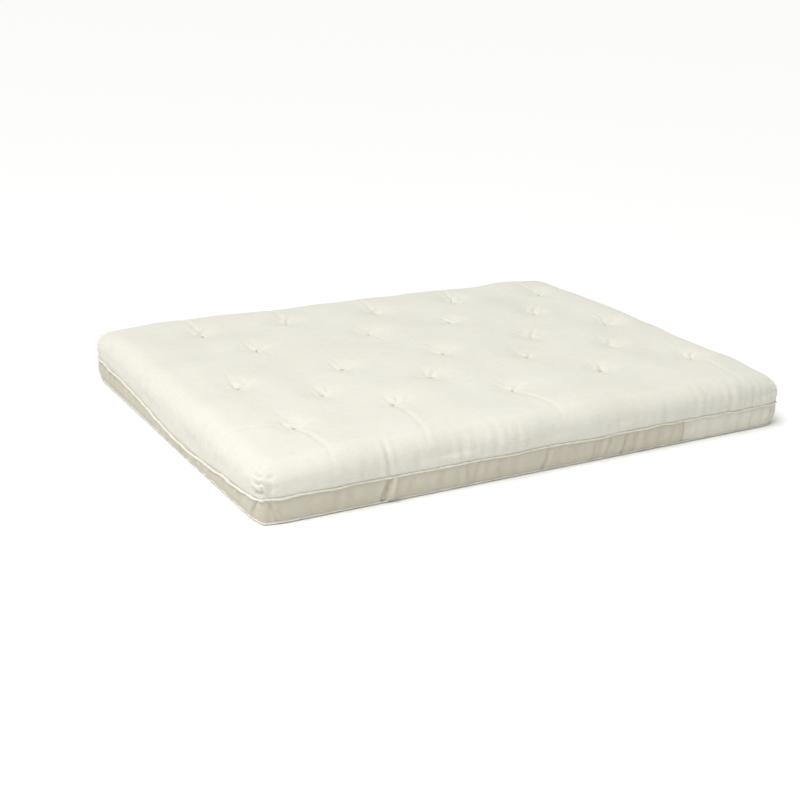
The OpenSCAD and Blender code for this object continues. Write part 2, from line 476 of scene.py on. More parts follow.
# Each tuft gathers its cloth in a few short folds, mostly two that open like a tick mark. From the
# outer tufts longer folds run out over the shoulder of the crown to the seam.
folds = []
draw = np.random.default_rng(31)
for tuft in tufts:
    place = tuft[:2]
    headings = [math.radians(30) + draw.normal(0, 0.35), math.radians(112) + draw.normal(0, 0.35)]
    lengths = [draw.uniform(0.045, 0.085), draw.uniform(0.035, 0.070)]
    if draw.random() < 0.5:
        headings.append(draw.uniform(math.pi, 2 * math.pi))
        lengths.append(draw.uniform(0.03, 0.05))
    for heading, length in zip(headings, lengths):
        aim = aim_at(heading)
        folds.append((place + 0.002 * aim, place + length * aim, draw.uniform(-0.008, 0.008),
                      draw.uniform(0.0060, 0.0085), draw.uniform(0.0040, 0.0060)))
for tuft in tufts:
    for axis, edge in ((0, edge_u), (1, edge_v)):
        side = np.sign(tuft[axis])
        if abs(tuft[axis]) > edge - 0.42 and draw.random() < 0.75:
            start = tuft[:2].copy()
            start[axis] += side * draw.uniform(0.01, 0.05)
            end = start.copy()
            end[axis] = side * (edge + draw.uniform(-0.01, 0.06))
            end[1 - axis] += draw.normal(0, 0.05)
            folds.append((start, end, draw.uniform(-0.012, 0.012), draw.uniform(0.006, 0.009),
                          draw.uniform(0.0020, 0.0034)))
# A deep pleat comes up over the front shoulder, and each corner is gathered in level puckers, most of
# all the near left one.
pleat_x = -0.55
pleat_end = np.array([pleat_x - 0.01, -edge_v + 0.09])
folds.append((np.array([pleat_x, -edge_v - lip_len]), pleat_end, 0.004, 0.007, 0.0060))
for corner_x, corner_y, gather in ((-1, -1, 1.45), (1, -1, 0.55), (1, 1, 0.8), (-1, 1, 0.8)):
    for out in (0.068, 0.090, 0.112, 0.136):
        near, far = out * draw.uniform(0.25, 0.5), out * draw.uniform(0.25, 0.5)
        ends = [np.array([out, near]), np.array([far, out + draw.normal(0, 0.006)])]
        start, end = [np.array([corner_x, corner_y]) * (inner_half + place) for place in ends]
        folds.append((start, end, -0.36 * out * corner_x * corner_y, draw.uniform(0.006, 0.009),
                      gather * draw.uniform(0.0035, 0.0060)))
top_fold = sum(crease(fine_u, fine_v, *fold) for fold in folds)
lip_fold = sum(crease(lip_u, lip_v, *fold) for fold in folds)
top_out = outward(top)
lip_out = outward(wall, closed=True)[: seam_row + 1]
top += top_out * top_fold[..., None]
wall[1: seam_row] += lip_out[1: seam_row] * lip_fold[1: seam_row, :, None]
wall[0] = at_rim(fine_rim, top)

# The border strip stands in soft upright folds where it was eased on: a few sharp ones along the front,
# two at each corner, and the rest by chance. Each is its place round the casing, width, depth and slant.
border_folds = [(edge_u + x, width, depth, slant) for x, width, depth, slant in (
    (-0.71, 0.010, 0.003, 0.06),
    (pleat_x, 0.008, 0.012, 0.22),
    (pleat_x + 0.022, 0.010, -0.005, 0.22),
    (-0.29, 0.009, 0.004, -0.1),
    (-0.25, 0.008, 0.0035, 0.15),
    (0.00, 0.007, 0.0070, 0.22),
    (0.20, 0.008, 0.0060, 0.10),
    (0.235, 0.007, 0.0045, 0.24),
    (0.30, 0.007, 0.0070, 0.24),
    (0.34, 0.008, 0.0045, 0.10),
)]
for corner_place in (0, 2 * edge_u, 2 * edge_u + 2 * edge_v, 4 * edge_u + 2 * edge_v):
    for shift, slant in ((-0.035, 0.8), (0.030, -0.7)):
        border_folds.append((corner_place + shift, 0.008, 0.0045, slant))
for number in range(34):
    border_folds.append((
        draw.uniform(0.1, 1) * loop_len, draw.uniform(0.007, 0.013), draw.uniform(0.0020, 0.0050),
        draw.normal(0, 0.12),
    ))


def round_loop(gap):
    """A distance round the casing, taken the shorter way: minus half a loop to half a loop"""
    return (gap + loop_len / 2) % loop_len - loop_len / 2


border = wall[seam_row:]
border_level = border[..., 2]
border_half = (border_level - border_level.min()) / np.ptp(border_level)
border_belly = np.sin(math.pi * np.clip(border_half, 0, 1)) ** 0.5
border_fold = 0
for place, width, depth, slant in border_folds:
    gap = round_loop(rim_place_fine[None] - place - slant * (border_level - seam_z))
    border_fold = border_fold - depth * (bell(gap, width) - 0.4 * bell(np.abs(gap) / width - 2.1, 1))
border_out = outward(wall, closed=True)[seam_row:]
border = border + border_out * (border_fold * border_belly)[..., None]


def cloth_object(name, points, faces, cut, material):
    """A mesh piece of cloth or filling, smooth, with the place on the cut cloth as its map in metres"""
    mesh = bpy.data.meshes.new(name)
    mesh.from_pydata(points.tolist(), [], [list(map(int, f)) for f in faces])
    mesh.update()
    corner = np.empty(len(mesh.loops), dtype=np.int64)
    mesh.loops.foreach_get("vertex_index", corner)
    mesh.uv_layers.new(name="cut").data.foreach_set("uv", cut[corner].astype(np.float32).ravel())
    mesh.polygons.foreach_set("use_smooth", [True] * len(mesh.polygons))
    mesh.materials.append(material)
    made = placed(name, mesh)
    return made


def follow_halves(piece):
    """Bakes the piece's placement into its points"""
    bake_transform(piece)


def bend_at_fold(piece, node):
    """The piece stands for the node's two halves, which are hidden, and its placement is baked into its
    points
    """
    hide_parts("seat_" + node, "back_" + node)
    follow_halves(piece)


# ---- Top panel ----
# One rectangle of unbleached cotton duck, drawn down over the crown on all four sides and sewn to the
# border strip at the upper seam. Its edge turns in under the crown to that seam.
panel_t = 0.0014


def fill_in(tree, node, inputs):
    """Sets inputs of a node to a value, or links them to another node's output"""
    for key, value in inputs.items():
        if isinstance(value, bpy.types.NodeSocket):
            tree.links.new(value, node.inputs[key])
        else:
            node.inputs[key].default_value = value


def shader_node(tree, kind, inputs, **settings):
    """A node with its settings and inputs"""
    made = tree.nodes.new(kind)
    for key, value in settings.items():
        setattr(made, key, value)
    fill_in(tree, made, inputs)
    return made


def maths(tree, operation, first, second=0.0):
    """The output of a math node on one or two values"""
    return shader_node(tree, "ShaderNodeMath", {0: first, 1: second}, operation=operation).outputs[0]


def times(tree, first, second):
    """The product of two values"""
    return maths(tree, "MULTIPLY", first, second)


def vector_maths(tree, operation, inputs):
    """The output of a vector math node"""
    return shader_node(tree, "ShaderNodeVectorMath", inputs, operation=operation).outputs[0]


def noise(tree, at, scale, detail, **more):
    """Noise at a place, 0 to 1"""
    inputs = {"Vector": at, "Scale": scale, "Detail": detail, **more}
    return shader_node(tree, "ShaderNodeTexNoise", inputs).outputs["Fac"]


def stretched(tree, value, low, high, to_low=0.0, to_high=1.0):
    """A value stretched from one range to another, and kept inside it"""
    ends = {"From Min": low, "From Max": high, "To Min": to_low, "To Max": to_high}
    return shader_node(tree, "ShaderNodeMapRange", {"Value": value, **ends}).outputs["Result"]


def effect(name, inputs, outputs):
    """An empty node group with named inputs and outputs, and its two end nodes"""
    tree = bpy.data.node_groups.new(name, "ShaderNodeTree")
    for label, kind, value in inputs:
        socket = tree.interface.new_socket(name=label, in_out="INPUT", socket_type="NodeSocket" + kind)
        if value is not None:
            socket.default_value = value
    for label in outputs:
        tree.interface.new_socket(name=label, in_out="OUTPUT", socket_type="NodeSocketFloat")
    return tree, tree.nodes.new("NodeGroupInput").outputs, tree.nodes.new("NodeGroupOutput")


# Plain weave: threads over and under each other one by one, each wandering a little.
weave, weave_in, weave_out = effect(
    "plain_weave", [("Vector", "Vector", None), ("Pitch", "Float", 0.0007), ("Wander", "Float", 0.35)],
    ["Height", "Gap"],
)
threads_per_m = maths(weave, "DIVIDE", 1.0, weave_in["Pitch"])
weave_at = vector_maths(weave, "SCALE", {0: weave_in["Vector"], "Scale": threads_per_m})
weave_noise = shader_node(weave, "ShaderNodeTexNoise", {
    "Vector": weave_in["Vector"], "Scale": 160.0, "Detail": 2.0,
})
weave_shift = vector_maths(weave, "SCALE", {0: weave_noise.outputs["Color"], "Scale": weave_in["Wander"]})
weave_place = vector_maths(weave, "ADD", {0: weave_at, 1: weave_shift})
weave_split = shader_node(weave, "ShaderNodeSeparateXYZ", {0: weave_place}).outputs
warp_wave = maths(weave, "SINE", times(weave, weave_split["X"], math.pi))
weft_wave = maths(weave, "SINE", times(weave, weave_split["Y"], math.pi))
warp = maths(weave, "ABSOLUTE", warp_wave)
weft = maths(weave, "ABSOLUTE", weft_wave)
warp_on_top = stretched(weave, times(weave, warp_wave, weft_wave), -0.4, 0.4)
weft_on_top = maths(weave, "SUBTRACT", 1.0, warp_on_top)
# The gap output is where neither thread lies high; the cotton paints it darker as painted shade between the
# threads.
fill_in(weave, weave_out, {
    "Height": maths(weave, "MAXIMUM", times(weave, warp, warp_on_top), times(weave, weft, weft_on_top)),
    "Gap": maths(weave, "SUBTRACT", 1.0, maths(weave, "MAXIMUM", warp, weft)),
})

# Slubs: thick places in the yarn, as short streaks along both sets of threads.
slubs, slubs_in, slubs_out = effect("slubs", [("Vector", "Vector", None)], ["Streak"])
streaks = []
for stretch in ((26.0, 850.0, 1.0), (850.0, 26.0, 1.0)):
    slub_at = vector_maths(slubs, "MULTIPLY", {0: slubs_in["Vector"], 1: stretch})
    streaks.append(stretched(slubs, noise(slubs, slub_at, 1.0, 1.0), 0.56, 0.78))
fill_in(slubs, slubs_out, {"Streak": maths(slubs, "MAXIMUM", *streaks)})

# Rumple: the soft creases of cloth that has been packed and handled, as a height in metres.
rumple, rumple_in, rumple_out = effect(
    "rumple", [("Vector", "Vector", None), ("Height", "Float", 0.001)], ["Height"]
)
rumple_total = 0.0
for scale, share, twist in ((9.0, 1.0, 1.2), (24.0, 0.42, 0.9), (70.0, 0.10, 0.5)):
    wave = noise(rumple, rumple_in["Vector"], scale, 2.0, Distortion=twist)
    rumple_total = maths(rumple, "ADD", rumple_total, times(rumple, wave, share))
fill_in(rumple, rumple_out, {"Height": times(rumple, rumple_total, rumple_in["Height"])})

# Tone: cloudy and fleck-like changes of shade, 0 to 1.
tone, tone_in, tone_out = effect(
    "tone", [("Vector", "Vector", None), ("Scale", "Float", 4.0)], ["Cloud", "Fleck"]
)
tone_cloud = noise(tone, tone_in["Vector"], tone_in["Scale"], 3.0, Roughness=0.55)
tone_fleck = noise(tone, tone_in["Vector"], times(tone, tone_in["Scale"], 90.0), 1.0)
fill_in(tone, tone_out, {
    "Cloud": stretched(tone, tone_cloud, 0.3, 0.7), "Fleck": stretched(tone, tone_fleck, 0.66, 0.78),
})


def use(tree, group, **inputs):
    """The outputs of a node group placed in a material with its own values"""
    made = tree.nodes.new("ShaderNodeGroup")
    made.node_tree = group
    fill_in(tree, made, inputs)
    return made.outputs


def colour_mix(tree, share, first, second):
    """Colour output between two colours"""
    inputs = {"Factor": share, 6: first, 7: second}
    return shader_node(tree, "ShaderNodeMix", inputs, data_type="RGBA").outputs[2]


def cut_place(tree):
    """The place on the cloth as cut, in metres"""
    return shader_node(tree, "ShaderNodeUVMap", {}, uv_map="cut").outputs["UV"]


def dress(tree, shader, colour, height, roughness, **more):
    """Gives a shader its colour, bumps of a height in metres, and finish"""
    bump = shader_node(tree, "ShaderNodeBump", {"Height": height, "Distance": 1.0, "Strength": 1.0})
    fill_in(tree, shader, {
        "Base Color": colour, "Normal": bump.outputs["Normal"], "Roughness": roughness, **more,
    })


def cotton(name, pale, shade, fleck_and_gap_shade, rumple_height, pitch=0.0007):
    """Unbleached cotton duck: plain weave with slubs, seed flecks and soft rumples, quite matte"""
    paint, tree, shader = new_paint(name)
    at = cut_place(tree)
    threads = use(tree, weave, Vector=at, Pitch=pitch)
    slub = use(tree, slubs, Vector=at)
    clouds = use(tree, tone, Vector=at, Scale=4.0)
    soft = use(tree, rumple, Vector=at, Height=rumple_height)
    colour = colour_mix(tree, clouds["Cloud"], pale, shade)
    # Slubs and seed flecks darken the colour as real marks in the yarn; the gaps between the threads are
    # darkened as painted shade.
    for mark, share in ((slub["Streak"], 0.35), (clouds["Fleck"], 0.30), (threads["Gap"], 0.35)):
        colour = colour_mix(tree, times(tree, mark, share), colour, fleck_and_gap_shade)
    height = maths(tree, "ADD", soft["Height"], times(tree, threads["Height"], 0.00011))
    height = maths(tree, "ADD", height, times(tree, slub["Streak"], 0.00008))
    dress(tree, shader, colour, height, stretched(tree, threads["Height"], 0.0, 1.0, 0.97, 0.86), **{
        "Sheen Weight": 0.15, "Sheen Roughness": 0.55, "Specular IOR Level": 0.25,
    })
    return paint


top_cotton = cotton("top_cotton", (0.760, 0.750, 0.672, 1), (0.728, 0.716, 0.634, 1),
                    (0.50, 0.46, 0.36, 1), 0.0022)


def lowest_near(heights, reach):
    """The lowest height within reach of each point of a net"""
    lowest = heights.copy()
    for axis in (0, 1):
        wide = np.pad(lowest, [(reach, reach) if a == axis else (0, 0) for a in (0, 1)], mode="edge")
        count = lowest.shape[axis]
        lowest = np.min([np.take(wide, range(k, k + count), axis) for k in range(2 * reach + 1)], 0)
    return lowest


# The outer face is the fine net. The inner face is a wider net just under its deepest folds.
inner_step = 4
slack = 0.0015
lip_t = 0.004
base, base_out = crowned(fine_u, fine_v)
raised = ((top - base) * base_out).sum(-1)
sunk = lowest_near(raised, inner_step) - raised - panel_t - slack
inner_face = (top + base_out * sunk[..., None])[::inner_step, ::inner_step]
inner_rim = rim_path(fine_x // inner_step, fine_y // inner_step)
wall_out = outward(wall, closed=True)
lip_middle_and_end = [seam_row // 2, seam_row]
inner_lips = [(wall[row] - wall_out[row] * lip_t)[::inner_step] for row in lip_middle_and_end]
outer_ids = numbered(top)
lip_ids = numbered_wall(fine_rim, outer_ids, seam_row, outer_ids.size)
inner_ids = lip_ids.max() + 1 + numbered(inner_face)
inner_lip_ids = numbered_wall(inner_rim, inner_ids, 2, inner_ids.max() + 1)


def hem_faces(outer_loop, inner_loop, step):
    """Faces that close a hem, from a fine loop of points to a wider one"""
    count = len(inner_loop)
    return [
        [inner_loop[k], inner_loop[(k + 1) % count]]
        + [outer_loop[(step * (k + 1) - n) % len(outer_loop)] for n in range(step + 1)]
        for k in range(count)
    ]


top_points = np.concatenate([
    top.reshape(-1, 3), wall[1: seam_row + 1].reshape(-1, 3),
    inner_face.reshape(-1, 3), np.concatenate(inner_lips),
])
top_faces = (
    grid_quads(outer_ids).tolist() + loop_quads(lip_ids).tolist()
    + grid_quads(inner_ids)[:, ::-1].tolist() + loop_quads(inner_lip_ids)[:, ::-1].tolist()
    + hem_faces(lip_ids[-1], inner_lip_ids[-1], inner_step)
)


def cut_map(u, v):
    """The place of each point on the cloth as it was cut, with round corners"""
    cut, run, aim, step = corner_turn(u, v, inner_half)
    return np.sign(cut) * (np.minimum(np.abs(cut), inner_half) + aim * run[..., None])


face_cut = cut_map(fine_u, fine_v)
lip_cut = np.stack([lip_u, lip_v], -1)
top_cut = np.concatenate([cut.reshape(-1, 2) for cut in (
    face_cut, lip_cut[1:], face_cut[::inner_step, ::inner_step], lip_cut[lip_middle_and_end, ::inner_step],
)])
top_panel = cloth_object("top_panel", top_points, top_faces, top_cut, top_cotton)
bend_at_fold(top_panel, "top_panel")


# ---- Border strips ----
# Two lengths of the same duck, from one join to the other round each end. At a join the strip that
# comes from the left lies on top, and the other is turned in under it.
join_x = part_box("seat_border_right")[0].x
lap = 0.012
lap_rise = 0.0012
lap_sink = 0.0032
# Both strips are painted a little darker and yellower than the top panel: painted shade on the upright
# border, with a warm cast of painted reflected light. The left strip, which runs round the left end and
# along the front to the join, is painted darker still as painted shade.
left_cotton_painted_shade = cotton("left_border_cotton_painted_shade", (0.610, 0.572, 0.474, 1), (0.565, 0.527, 0.432, 1),
                     (0.45, 0.41, 0.31, 1), 0.0013)
right_cotton_painted_shade = cotton("right_border_cotton_painted_shade", (0.735, 0.715, 0.625, 1), (0.695, 0.672, 0.580, 1),
                      (0.48, 0.44, 0.34, 1), 0.0013)
front_join = int(np.abs(rim_place_fine - (edge_u + join_x)).argmin())
back_join = int(np.abs(rim_place_fine - (3 * edge_u + 2 * edge_v + join_x)).argmin())
lap_points = 2


def closed_faces(front_ids, back_ids, side_ids=()):
    """Faces of a closed sheet or slab: its front and back, and the band of loops round its edge"""
    edge = rim_path(*np.subtract(front_ids.shape, 1))
    band = np.stack([at_rim(edge, front_ids), *side_ids, at_rim(edge, back_ids)])
    return np.concatenate([grid_quads(front_ids), grid_quads(back_ids)[:, ::-1], loop_quads(band)])


def border_strip(name, first, last, cloth, node):
    """One length of the border, between two places on the fine rim"""
    run = np.arange(first - lap_points, last + 1)
    loops = run % len(fine_rim)
    from_start = np.abs(run - first) * lap / lap_points
    from_end = np.abs(run - last) * lap / lap_points
    set_out = lap_rise * bell(from_end, lap) - lap_sink * bell(from_start, 1.5 * lap)
    face = border[:, loops] + border_out[:, loops] * set_out[None, :, None]
    back = face - border_out[:, loops] * panel_t
    ids = numbered(face)
    cut_x = np.broadcast_to(run * loop_len / len(fine_rim), ids.shape)
    cut = np.stack([cut_x, face[..., 2]], -1).reshape(-1, 2)
    made = cloth_object(name, np.concatenate([face.reshape(-1, 3), back.reshape(-1, 3)]),
                        closed_faces(ids, ids + ids.size), np.concatenate([cut, cut]), cloth)
    bend_at_fold(made, node)
    return made


border_right = border_strip("border_strip_right", front_join, back_join, right_cotton_painted_shade, "border_right")
border_left = border_strip("border_strip_left", back_join, front_join + len(fine_rim), left_cotton_painted_shade,
                           "border_left")


# ---- Bottom panel ----
# One flat rectangle of duck under the filling, sewn to the border strips at the lower seam and drawn
# up a little where each tuft is tied off.
bottom_cotton = cotton("bottom_cotton", (0.735, 0.712, 0.625, 1), (0.690, 0.665, 0.575, 1),
                       (0.50, 0.46, 0.36, 1), 0.0010)
tied_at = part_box("seat_bottom_knots")[1].z + 0.0002


def flat_net(reach_x, reach_y, corner, cell):
    """x and y of an even net over a flat piece with round corners"""
    inner = np.array([reach_x - corner, reach_y - corner])
    u, v = np.meshgrid(*[net_lines(half, cell, corner, 4) for half in inner], indexing="ij")
    cut, run, aim, step = corner_turn(u, v, inner)
    return np.moveaxis(np.sign(cut) * (np.minimum(np.abs(cut), inner) + step * run[..., None]), -1, 0)


def pull(x, y, depth, reach):
    """How far the tufts draw a layer in"""
    return depth * sum(np.exp(-((x - t[0]) ** 2 + (y - t[1]) ** 2) / reach ** 2) for t in tufts)


def level_out(loop):
    """The level outward aim at each point of a loop"""
    ahead = np.roll(loop, -1, 0) - np.roll(loop, 1, 0)
    out = np.stack([ahead[:, 1], -ahead[:, 0], 0 * ahead[:, 0]], -1)
    return out / np.linalg.norm(out, axis=-1)[:, None]


def plate(name, upper, lower, belly, material, side_rows=3):
    """A soft slab between two nets of points, its sides bellied out or drawn in"""
    edge = rim_path(upper.shape[0] - 1, upper.shape[1] - 1)
    upper_rim, lower_rim = at_rim(edge, upper), at_rim(edge, lower)
    out = level_out(upper_rim)
    side = []
    for row in range(1, side_rows + 1):
        share = row / (side_rows + 1)
        side.append(upper_rim * (1 - share) + lower_rim * share + out * belly * math.sin(math.pi * share))
    points = np.concatenate([upper.reshape(-1, 3), lower.reshape(-1, 3), np.concatenate(side)])
    ids = numbered(upper)
    side_ids = 2 * ids.size + np.arange(side_rows * len(edge)).reshape(side_rows, -1)
    faces = closed_faces(ids, ids + ids.size, side_ids)
    return cloth_object(name, points, faces, points[:, :2], material)


bottom_x, bottom_y = flat_net(half_x - border_in - 0.001, half_y - border_in - 0.001, 0.055, 0.0125)
drawn_up = pull(bottom_x, bottom_y, tied_at - 0.0008, 0.022) + pull(bottom_x, bottom_y, 0.0012, 0.05)
drawn_up = drawn_up + 0.0008 + 0.0009 * (1 + soft_swell(bottom_x, bottom_y, 0.30, 0.10, 41)) / 2
for number in range(60):
    tuft = tufts[number % len(tufts)]
    aim = aim_at(draw.uniform(0, 2 * math.pi))
    start = tuft[:2] + 0.008 * aim
    end = tuft[:2] + draw.uniform(0.04, 0.09) * aim
    drawn_up = drawn_up - crease(bottom_x, bottom_y, start, end, draw.uniform(-0.01, 0.01), 0.009, 0.0016)
drawn_up = np.clip(drawn_up, 0.0006, None)
bottom_lower = np.stack([bottom_x, bottom_y, drawn_up], -1)
bottom_upper = np.stack([bottom_x, bottom_y, drawn_up + panel_t], -1)
bottom_panel = plate("bottom_panel", bottom_upper, bottom_lower, 0.0, bottom_cotton, 1)
bend_at_fold(bottom_panel, "bottom_panel")


# ---- Rolled edges ----
# A fold of the casing cloth stitched into a narrow roll along each seam. The roll is pinched by its
# stitches, so it swells and thins as it runs, and it stands out most along the left end.
edge_cotton = cotton("edge_cotton", (0.750, 0.738, 0.660, 1), (0.715, 0.702, 0.620, 1),
                     (0.55, 0.51, 0.41, 1), 0.0004, 0.0005)
roll_sides = 10
upward = np.array([0, 0, 1.0])


def rolled_edge(name, centre, half_wide, half_high, seed, node):
    """A closed roll of cloth along a loop of centre points"""
    out = level_out(centre)
    pulled_out = np.clip((1.05 - np.abs(round_loop(rim_place_fine + edge_v))) / 0.25, 0, 1)
    swell = (0.70 + 0.30 * pulled_out) * (1 + 0.20 * loop_waves(rim_place_fine, 0.09, 0.02, seed))
    turn = 2 * math.pi * np.arange(roll_sides) / roll_sides
    points = (
        centre[:, None]
        + out[:, None] * (half_wide * swell[:, None] * np.cos(turn)[None])[..., None]
        + upward * (half_high * swell[:, None] * np.sin(turn)[None])[..., None]
    )
    ids = numbered(points)
    beyond, above = np.roll(ids, -1, 0), np.roll(ids, -1, 1)
    faces = np.stack([ids, beyond, np.roll(beyond, -1, 1), above], -1).reshape(-1, 4)
    girth = turn * (half_wide + half_high) / 2
    cut = np.stack([np.broadcast_to(rim_place_fine[:, None], ids.shape),
                    np.broadcast_to(girth[None], ids.shape)], -1).reshape(-1, 2)
    made = cloth_object(name, points.reshape(-1, 3), faces, cut, edge_cotton)
    bend_at_fold(made, node)
    return made


seam_line = wall[seam_row]
seam_out = wall_out[seam_row] * np.array([1, 1, 0])
roll_wander = 0.0014 * loop_waves(rim_place_fine, 0.35, 0.08, 51)[:, None]
top_roll_line = seam_line + 0.0014 * seam_out + upward * (roll_wander - 0.0020)
top_roll = rolled_edge("top_rolled_edge", top_roll_line, 0.0047, 0.0038, 52, "top_welt")
hem_out = border_out[-1] * np.array([1, 1, 0])
bottom_roll_line = border[-1] + 0.0015 * hem_out
bottom_roll_line[:, 2] = 0.0046
bottom_roll_line = bottom_roll_line + 0.6 * np.abs(roll_wander) * upward
bottom_roll = rolled_edge("bottom_rolled_edge", bottom_roll_line, 0.0040, 0.0034, 53, "bottom_welt")


# ---- Seam stitches ----
# Lockstitches of cotton thread in the border strip, just under the upper roll and just over the lower
# one, with a double row down each join.
stitch_long = 0.0042
stitch_gap = 0.0022
stitch_r = 0.00045


def twine_paint(name, pale, groove_shade_and_fuzz, twist_per_m):
    """Twisted cotton, with the turns of its plies as slanting ridges along its cut map, painted darker in
    the grooves between them as painted shade
    """
    paint, tree, shader = new_paint(name)
    at = cut_place(tree)
    split = shader_node(tree, "ShaderNodeSeparateXYZ", {0: at}).outputs
    turns = maths(tree, "ADD", times(tree, split["X"], twist_per_m), split["Y"])
    ply = maths(tree, "ABSOLUTE", maths(tree, "SINE", times(tree, turns, 2 * math.pi)))
    # The grooves between the plies are painted darker as painted shade; the fuzz below darkens the colour
    # at random.
    colour = colour_mix(tree, ply, groove_shade_and_fuzz, pale)
    fuzz = use(tree, tone, Vector=at, Scale=30.0)["Cloud"]
    colour = colour_mix(tree, times(tree, fuzz, 0.35), colour, groove_shade_and_fuzz)
    dress(tree, shader, colour, times(tree, ply, 0.00025), stretched(tree, ply, 0.0, 1.0, 0.95, 0.8))
    return paint


def run_along(line):
    """How far along a line of points each of them lies"""
    return np.concatenate([[0], np.cumsum(np.linalg.norm(np.diff(line, axis=0), axis=1))])


def swept(path, radii, sides):
    """Points, faces and cut map of a round strand along a path, closed at both ends"""
    path = np.array(path, float)
    ahead = np.gradient(path, axis=0)
    ahead /= np.linalg.norm(ahead, axis=1)[:, None]
    side = np.cross(ahead[0], [0.31, 0.17, 0.93])
    turn = 2 * math.pi * np.arange(sides) / sides
    rings = []
    for spot, aim, radius in zip(path, ahead, np.broadcast_to(radii, len(path))):
        side = side - aim * (side @ aim)
        side /= np.linalg.norm(side)
        ring = np.cos(turn)[:, None] * side + np.sin(turn)[:, None] * np.cross(aim, side)
        rings.append(spot + radius * ring)
    ids = np.arange(len(path) * sides).reshape(len(path), sides)
    beside = np.roll(ids, -1, 1)
    faces = np.stack([ids[:-1], beside[:-1], beside[1:], ids[1:]], -1).reshape(-1, 4).tolist()
    faces += [ids[0, ::-1].tolist(), ids[-1].tolist()]
    run = run_along(path)
    cut = np.stack(np.broadcast_arrays(run[:, None], (turn / (2 * math.pi))[None]), -1).reshape(-1, 2)
    return np.concatenate(rings), faces, cut


def strands_object(name, strands, material):
    """One mesh of many separate strands"""
    points, faces, cuts, count = [], [], [], 0
    for strand_points, strand_faces, strand_cut in strands:
        points.append(strand_points)
        faces += [[corner + count for corner in face] for face in strand_faces]
        cuts.append(strand_cut)
        count += len(strand_points)
    return cloth_object(name, np.concatenate(points), faces, np.concatenate(cuts), material)


def stitch_row(line, out):
    """Stitches end to end along a line of points, each sunk in the cloth at both ends"""
    run = run_along(line)
    made = []
    for start in np.arange(0, run[-1] - stitch_long, stitch_long + stitch_gap):
        spots = start + stitch_long * np.array([0, 0.2, 0.8, 1.0])
        path = np.stack([np.interp(spots, run, line[:, axis]) for axis in range(3)], -1)
        lift = np.stack([np.interp(spots, run, out[:, axis]) for axis in range(3)], -1)
        path += lift * (stitch_r * np.array([-0.8, 0.7, 0.7, -0.8]))[:, None]
        made.append(swept(path, stitch_r, 5))
    return made


thread_paint = twine_paint("thread", (0.83, 0.81, 0.74, 1), (0.62, 0.58, 0.48, 1), 900.0)
loop_again = np.arange(len(fine_rim) + 1) % len(fine_rim)
upper_row, lower_row = 1, len(border) - 2
stitches = []
for row in (upper_row, lower_row):
    stitches += stitch_row(border[row][loop_again], border_out[row][loop_again])
for join in (front_join, back_join):
    for column in (join - 1, join - 2):
        join_out = border_out[1:-1, column]
        stitches += stitch_row(border[1:-1, column] + join_out * lap_rise, join_out)
seam_stitches = strands_object("seam_stitches", stitches, thread_paint)
follow_halves(seam_stitches)


# ---- Cotton batts and foam core ----
# Felted cotton batts lie three over and two under a slab of foam. The tufts draw each of them in, the
# outer ones most, and the upper batts carry the crown of the casing.
layer_gap = 0.0003


def batt_paint(name, pale, shade, speck):
    """Felted cotton: matted fibres lying every way, with husk specks"""
    paint, tree, shader = new_paint(name)
    at = cut_place(tree)
    mats = noise(tree, at, 45.0, 6.0, Roughness=0.7, Distortion=2.2)
    fibres = shader_node(tree, "ShaderNodeTexWave", {
        "Vector": at, "Scale": 160.0, "Distortion": 22.0, "Detail": 3.0, "Detail Scale": 0.6,
    }).outputs["Fac"]
    shades = use(tree, tone, Vector=at, Scale=7.0)
    colour = colour_mix(tree, shades["Fleck"], colour_mix(tree, shades["Cloud"], pale, shade), speck)
    height = maths(tree, "ADD", times(tree, mats, 0.004), times(tree, fibres, 0.0004))
    dress(tree, shader, colour, height, 0.98, **{"Sheen Weight": 0.4})
    return paint


def foam_paint(name, pale, pit):
    """Open-cell foam: even small round pits"""
    paint, tree, shader = new_paint(name)
    at = shader_node(tree, "ShaderNodeTexCoord", {}).outputs["Object"]
    pits = shader_node(tree, "ShaderNodeTexVoronoi", {"Vector": at, "Scale": 700.0}).outputs["Distance"]
    shades = use(tree, tone, Vector=at, Scale=6.0)
    colour = colour_mix(tree, times(tree, shades["Cloud"], 0.3), pale, pit)
    dress(tree, shader, colour, times(tree, pits, 0.0009), 0.95)
    return paint


fresh_batt = batt_paint("fresh_batt", (0.80, 0.77, 0.69, 1), (0.72, 0.69, 0.60, 1), (0.45, 0.38, 0.26, 1))
recycled_batt = batt_paint("recycled_batt", (0.66, 0.65, 0.62, 1), (0.54, 0.54, 0.53, 1),
                           (0.22, 0.24, 0.30, 1))
foam_body = foam_paint("foam_body", (0.82, 0.76, 0.55, 1), (0.66, 0.58, 0.36, 1))


def crown_inset(level, clear):
    """How far inside the mattress outline the filling ends at a level, clear of the casing"""
    up = max(level - crown_z, 0)
    inside = crown_r - clear
    return crown_r - math.sqrt(max(inside ** 2 - up ** 2, 0))


def batt(name, node, inset_low, inset_high, draws, material, cell=0.026):
    """One layer of filling, with the pull of the tufts at its lower and upper face"""
    base_low, base_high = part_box("seat_" + node)[0].z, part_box("seat_" + node)[1].z
    nets = []
    for level, inset, draw_in, lift in ((base_low, inset_low, draws[0], layer_gap),
                                        (base_high, inset_high, draws[1], -layer_gap)):
        x, y = flat_net(half_x - inset, half_y - inset, max(corner_w - inset, 0.02), cell)
        nets.append(np.stack([x, y, level + lift - pull(x, y, draw_in, 0.05)], -1))
    made = plate(name, nets[1], nets[0], 0.004, material)
    bend_at_fold(made, node)
    return made


